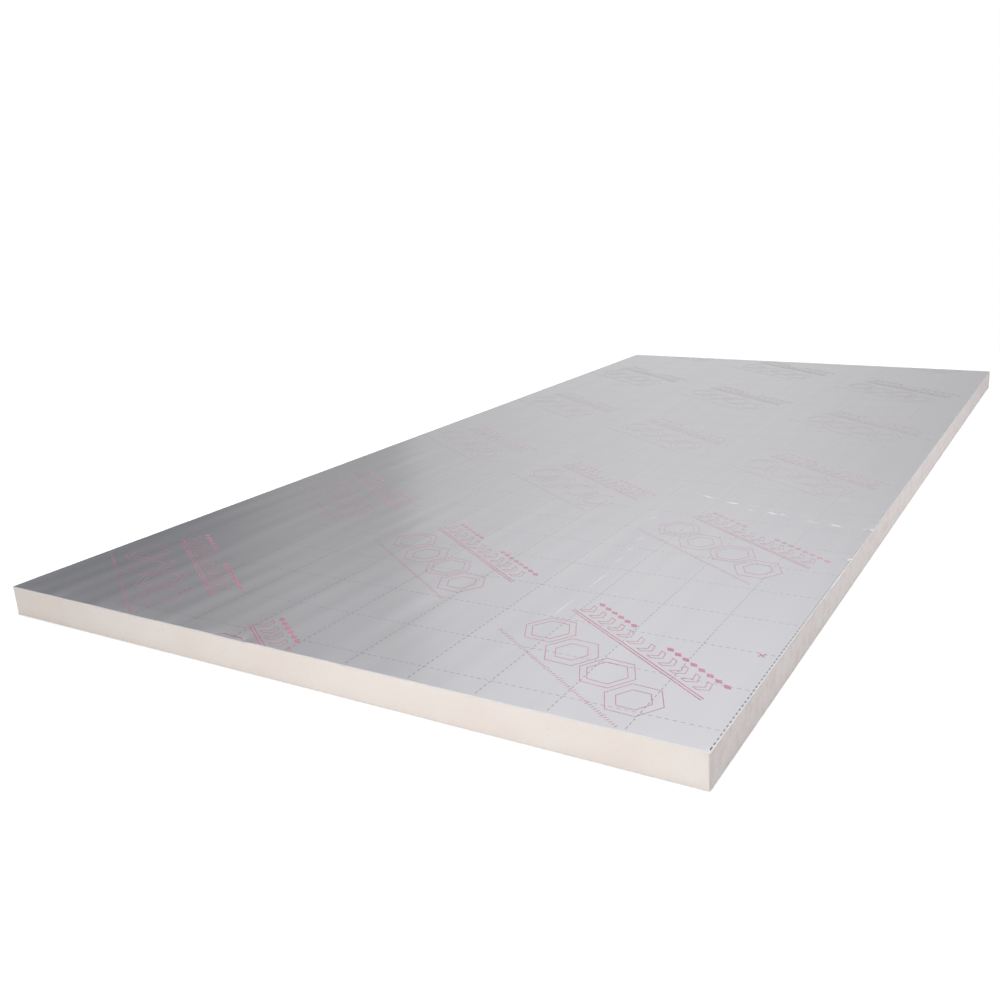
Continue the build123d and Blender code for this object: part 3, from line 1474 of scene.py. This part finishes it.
@dataclass(frozen=True)
class Studio:
    """A white studio: floor, surrounding walls as the foil mirrors them, and lamps.

    Attributes:
        ambient: plain light from all round.
        walls: how bright the surroundings are to a reflection, by azimuth in degrees
            to the left of +Y.
        heights: the same by the sine of the elevation, as a share of the above.
        gloom: how much of the walls' darkness is left, by the sine of the elevation.
        dusk: colour of the walls where they are darkest.
        floor_radius: of the floor.
        floor_fade: where the floor starts to give way to plain white, and where it ends.
        floor_lift: light added to the floor as the camera sees it, to reach white.
        lamps: the soft lamps.
        dusk_span: wall brightness at which that colour is full, and where it has gone.
        floor_sides: sides of the floor's outline.
    """

    ambient: float
    walls: tuple[tuple[float, float], ...]
    heights: tuple[tuple[float, float], ...]
    gloom: tuple[tuple[float, float], ...]
    dusk: tuple[float, ...]
    floor_radius: float
    floor_fade: tuple[float, float]
    floor_lift: float
    lamps: tuple[SoftLamp, ...]
    dusk_span: tuple[float, float] = (0.20, 0.38)
    floor_sides: int = 96

    def mirrored_level(self, nodes: Nodes) -> bpy.types.NodeSocket:
        """How bright the surroundings look in the foil, by direction."""
        aim = nodes.add("SeparateXYZ", Vector=nodes.add("TexCoord").outputs["Generated"])
        turn = nodes.math("ARCTAN2", nodes.math("MULTIPLY", aim.outputs["X"], -1.0), aim.outputs["Y"])
        share = nodes.math("DIVIDE", turn, 2 * math.pi)
        stops = [(azimuth / 360 + 0.5, level) for azimuth, level in self.walls]
        around = nodes.ramp(nodes.math("ADD", share, 0.5), stops)
        upwards = nodes.ramp(aim.outputs["Z"], self.heights)
        gloom = nodes.ramp(aim.outputs["Z"], self.gloom)
        darkness = nodes.math("MULTIPLY", nodes.math("SUBTRACT", 1.0, around), gloom)
        return nodes.math("MULTIPLY", nodes.math("SUBTRACT", 1.0, darkness), upwards)

    def build_world(self) -> None:
        """White to the camera, walls of uneven brightness to a reflection."""
        world = bpy.data.worlds.new("studio")
        bpy.context.scene.world = world
        world.use_nodes = True
        world.node_tree.nodes.clear()
        nodes = Nodes(world.node_tree)
        paths = nodes.add("LightPath")
        mirrored = nodes.math("MAXIMUM", paths.outputs["Is Glossy Ray"],
                              paths.outputs["Is Transmission Ray"])
        level = self.mirrored_level(nodes)
        tint = nodes.mix_colour(nodes.remap(level, *self.dusk_span), self.dusk, (1, 1, 1, 1))
        walls = nodes.add("Background", Color=tint, Strength=level)
        plain = nodes.add("Background", Color=(1, 1, 1, 1), Strength=self.ambient)
        white = nodes.add("Background", Color=(1, 1, 1, 1), Strength=1.0)
        seen = nodes.add("MixShader", Fac=mirrored)
        nodes.put(seen.inputs[1], plain.outputs[0])
        nodes.put(seen.inputs[2], walls.outputs[0])
        shown = nodes.add("MixShader", Fac=paths.outputs["Is Camera Ray"])
        nodes.put(shown.inputs[1], seen.outputs[0])
        nodes.put(shown.inputs[2], white.outputs[0])
        nodes.add("OutputWorld", Surface=shown.outputs[0])

    def build_floor(self) -> bpy.types.Object:
        """A pale round floor that keeps the board's shadow."""
        sides = self.floor_sides
        turn = np.linspace(0, 2 * math.pi, sides + 1)[:-1]
        ring = np.stack([np.cos(turn), np.sin(turn), np.zeros(sides)], -1) * self.floor_radius
        places = np.concatenate([ring, np.zeros((1, 3))])
        floor = new_piece("studio_floor", places, NO_QUADS, fan(np.arange(sides), sides))
        made, nodes, shader = new_material("pale_floor")
        shader["Base Color"].default_value = srgb(246, 246, 246)
        shader["Roughness"].default_value = 0.95
        shader["Specular IOR Level"].default_value = 0.0
        shader["Emission Color"].default_value = (1, 1, 1, 1)
        place = nodes.add("TexCoord").outputs["Object"]
        away = nodes.add("VectorMath", operation="LENGTH")
        nodes.put(away.inputs[0], place)
        fade = nodes.remap(away.outputs["Value"], *self.floor_fade)
        seen = nodes.add("LightPath").outputs["Is Camera Ray"]
        hidden = nodes.math("MULTIPLY", seen, fade)
        nodes.put(shader["Alpha"], nodes.math("SUBTRACT", 1.0, hidden))
        lift = nodes.math("MULTIPLY", seen, self.floor_lift)
        nodes.put(shader["Emission Strength"], lift)
        floor.data.materials.append(made)
        return floor

    def build(self) -> None:
        """Makes the world, the floor and the lamps."""
        self.build_world()
        self.build_floor()
        for lamp in self.lamps:
            lamp.build()


@dataclass(frozen=True)
class PhotoCamera:
    """The camera at the photograph's viewing angle.

    Attributes:
        place: of the camera, in metres.
        aim: the point in the middle of its view, before the shift.
        roll_deg: turn about the line of sight.
        focal_pixels: focal length, in pixels of the image.
        image_pixels: side of the square image.
        centre_pixels: where the line of sight meets the image, along its width.
        sensor: width of the camera's sensor, in millimetres.
    """

    place: tuple[float, float, float]
    aim: tuple[float, float, float]
    roll_deg: float
    focal_pixels: float
    image_pixels: float = 1000.0
    centre_pixels: float = 500.0
    sensor: float = 36.0

    def build(self) -> bpy.types.Object:
        """Makes the camera and sets it as the scene's own."""
        data = bpy.data.cameras.new("photo_camera")
        data.sensor_width = self.sensor
        data.lens = self.focal_pixels * self.sensor / self.image_pixels
        data.shift_x = (self.image_pixels / 2 - self.centre_pixels) / self.image_pixels
        camera = bpy.data.objects.new("photo_camera", data)
        towards = Vector(self.aim) - Vector(self.place)
        facing = towards.to_track_quat("-Z", "Y").to_matrix().to_4x4()
        roll = Matrix.Rotation(math.radians(self.roll_deg), 4, "Z")
        camera.matrix_world = Matrix.Translation(self.place) @ facing @ roll
        bpy.context.scene.collection.objects.link(camera)
        bpy.context.scene.camera = camera
        return camera


# This board


def top_relief(sizes: BoardSizes) -> FacerRelief:
    """The creases and knocks that show on the upper face, where they are seen."""
    right = sizes.width / 2
    near = -sizes.length / 2
    # The last number of each fold is how much painted highlight its crest gets.
    long_folds = (
        Crease((265.2 * MM, -948 * MM), (263.8 * MM, -775 * MM), 0.36 * MM, 1.1 * MM, 1, 0.95),
        Crease((263 * MM, -765 * MM), (236 * MM, -540 * MM), 0.12 * MM, 1.5 * MM, 4, 0.35),
        Crease((232 * MM, -530 * MM), (206 * MM, -452 * MM), 0.12 * MM, 1.5 * MM, 2, 0.25),
        Crease((250 * MM, -326 * MM), (592 * MM, -414 * MM), 0.10 * MM, 2.2 * MM, 9, 0.15),
    )
    # Short folds: ends in millimetres and how much painted highlight each gets.
    ticks = (
        ((252, -327), (279, -342), 0.7), ((312, -353), (335, -358), 1.0),
        ((363, -382), (374, -386), 0.7), ((400, -382), (419, -391), 1.0),
        ((427, -387), (437, -391), 0.7), ((481, -404), (500, -411), 0.5),
        ((524, -409), (544, -417), 1.0), ((581, -412), (591, -414), 0.5),
    )
    short_folds = tuple(
        Crease((x0 * MM, y0 * MM), (x1 * MM, y1 * MM), 0.3 * MM, 2.3 * MM, 0, glint)
        for (x0, y0), (x1, y1), glint in ticks
    )
    # The sixth number of a knock is how much painted highlight its rim gets.
    dents = (
        Dent(right, -413 * MM, 1.1 * MM, 5 * MM, 5.5 * MM, 1.0),
        Dent(right, -571 * MM, 1.0 * MM, 4 * MM, 6.5 * MM, 1.0),
        Dent(511 * MM, -262 * MM, 0.35 * MM, 6 * MM, 9 * MM, 0.25),
        Dent(right, -650 * MM, 0.6 * MM, 3 * MM, 34 * MM),
        Dent(right, near, 1.6 * MM, 6 * MM, 6 * MM, 0.15),
        Dent(-118 * MM, near, 0.9 * MM, 34 * MM, 9 * MM),
        Dent(-92 * MM, near, 0.7 * MM, 9 * MM, 6 * MM, 0.3),
        Dent(-300 * MM, near, 0.5 * MM, 60 * MM, 10 * MM),
    )
    # Stretches of the right-hand arris with a painted highlight: ends along Y and strength.
    painted_glints = (
        GlintEdge(-692 * MM, -608 * MM, 1.0), GlintEdge(-752 * MM, -736 * MM, 0.8),
        GlintEdge(-830 * MM, -806 * MM, 0.8), GlintEdge(-905 * MM, -872 * MM, 0.7),
        GlintEdge(-1010 * MM, -980 * MM, 0.5),
    )
    # The cut edges get a painted highlight too, at the ends and along the sides.
    return FacerRelief(
        sizes, headroom=0.55 * MM, ripple=0.055 * MM, sag=0.06 * MM, edge_ripple=0.07 * MM,
        creases=long_folds + short_folds, dents=dents, painted_glints=painted_glints, glint_ends=0.5,
        glint_sides=0.6, seed=5,
    )


def under_relief(sizes: BoardSizes) -> FacerRelief:
    """The underside carries the board, so it is flat but for low ripples."""
    return FacerRelief(sizes, headroom=0.2 * MM, ripple=0.025 * MM, sag=0.03 * MM,
                       # Its cut edges get a full painted highlight all round, which lifts the shade
                       # where they meet the floor.
                       edge_ripple=0.05 * MM, glint_ends=1.0, glint_sides=1.0, seed=11)


def the_studio() -> Studio:
    """Walls that are bright behind the board and dark beyond its left side."""
    walls = (
        (-179.0, 0.98), (-120.0, 0.88), (-60.0, 0.90), (-30.0, 0.98), (-10.0, 0.82), (6.0, 0.82),
        (17.0, 0.99), (24.0, 1.00), (30.0, 0.95), (36.0, 0.84), (38.2, 0.80), (39.4, 0.58),
        (45.0, 0.53), (50.5, 0.34), (55.0, 0.28), (68.0, 0.26), (95.0, 0.70), (140.0, 0.94),
        (179.0, 0.98),
    )
    heights = (
        (0.0, 0.70), (0.15, 0.73), (0.28, 0.81), (0.40, 1.0), (0.52, 1.11), (0.74, 1.20),
        (0.80, 1.40), (0.88, 1.40), (0.94, 1.05), (1.0, 1.0),
    )
    gloom = ((0.0, 1.0), (0.30, 1.0), (0.37, 0.72), (0.47, 0.68), (0.70, 0.35), (0.90, 0.15))
    lamps = (
        SoftLamp("overhead_lamp", (0.2, -0.6, 3.4), (0.1, -0.3, 0.0), 2.0, 2.0, 4.0),
        SoftLamp("front_lamp", (0.32, -2.2, 0.7), (0.32, -1.2, 0.0), 0.6, 0.6, 4.5),
        SoftLamp("right_lamp", (2.4, 0.22, 1.0), (0.6, 0.22, 0.0), 1.2, 1.2, 3.2),
        SoftLamp("back_lamp", (-2.4, 2.8, 1.2), (-0.4, 0.8, 0.0), 1.2, 1.2, 3.5),
    )
    return Studio(
        ambient=0.40, walls=walls, heights=heights, gloom=gloom, dusk=srgb(238, 244, 255),
        floor_radius=8.0, floor_fade=(1.42, 2.1), floor_lift=0.40, lamps=lamps,
    )


def dress(piece: bpy.types.Object, material: bpy.types.Material, slot: str) -> None:
    """Gives a piece its finish and its body, and reports it with its slot.

    Args:
        piece: the finished mesh object.
        material: its finish.
        slot: the record's slot that the finish stands for.
    """
    piece.data.materials.append(material)
    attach(piece, "root")
    triangles = sum(len(face.vertices) - 2 for face in piece.data.polygons)
    log.info("%s: %d triangles, slot %s", piece.name, triangles, slot)


def main() -> None:
    """Builds the pieces in order, then the studio and the camera."""
    logging.basicConfig(level=logging.INFO, format="%(name)s %(message)s")
    bpy.context.scene.view_settings.view_transform = "Standard"
    sizes = BoardSizes.from_frame()
    top = top_relief(sizes)
    under = under_relief(sizes)
    streaks = rolled_streaks()
    speckle = fine_speckle()
    foil = FoilFinish().material(streaks)
    foam = FoamFinish().material(speckle)
    # Each ink's far tone and cover along Y are a painted fade of light and reflection; the print
    # itself is even.
    red_ink = InkFinish(
        "red_ink", thick=srgb(176, 66, 104), thin=srgb(204, 120, 150), painted_far_tone=srgb(110, 62, 82),
        painted_tone_span=(0.0, 0.8), half_length=sizes.length / 2,
        cover=((0.0, 0.90), (0.18, 0.82), (0.33, 0.54), (0.45, 0.44), (0.60, 0.46), (0.80, 0.80),
               (1.0, 0.95)),
    ).material(streaks, speckle)
    grey_ink = InkFinish(
        "grey_ink", thick=srgb(84, 87, 96), thin=srgb(134, 136, 145), painted_far_tone=srgb(128, 130, 137),
        painted_tone_span=(-0.9, 0.2), half_length=sizes.length / 2,
        cover=((0.0, 1.0), (0.12, 0.88), (0.22, 0.54), (0.33, 0.28), (0.45, 0.20), (0.60, 0.24),
               (0.80, 0.45), (1.0, 0.60)),
    ).material(streaks, speckle)

    top_sheet = FacerSheet(
        sizes, top, Face.TOP, pitch_across=6.2 * MM, pitch_along=16.5 * MM,
        fine_x=((259 * MM, 270 * MM, 0.9 * MM),),
        fine_y=((-581 * MM, -561 * MM, 2.2 * MM), (-423 * MM, -318 * MM, 2.0 * MM)),
    ).build()
    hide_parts(Face.TOP.value)
    dress(top_sheet, foil, "foil")
    bottom_sheet = FacerSheet(
        sizes, under, Face.UNDERSIDE, pitch_across=12 * MM, pitch_along=30 * MM,
    ).build()
    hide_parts(Face.UNDERSIDE.value)
    dress(bottom_sheet, foil, "foil")
    slab = SawnCore(sizes, top, under).build()
    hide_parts("foam_core")
    dress(slab, foam, "foam")

    dress(CuttingGrid(sizes, top).build(), grey_ink, "grid_ink")
    dress(StampPrint(sizes, top).build(), red_ink, "print_ink")
    crosses = ((577 * MM, -955 * MM), (577 * MM, 263 * MM))
    dress(CrossMark(top, crosses).build(), red_ink, "print_ink")

    the_studio().build()
    PhotoCamera(
        place=(0.93775, -2.09071, 0.63117), aim=(0.042, -0.4467, 0.050), roll_deg=-2.135,
        focal_pixels=1001.87, centre_pixels=580.0,
    ).build()


if __name__ == "__main__":
    main()
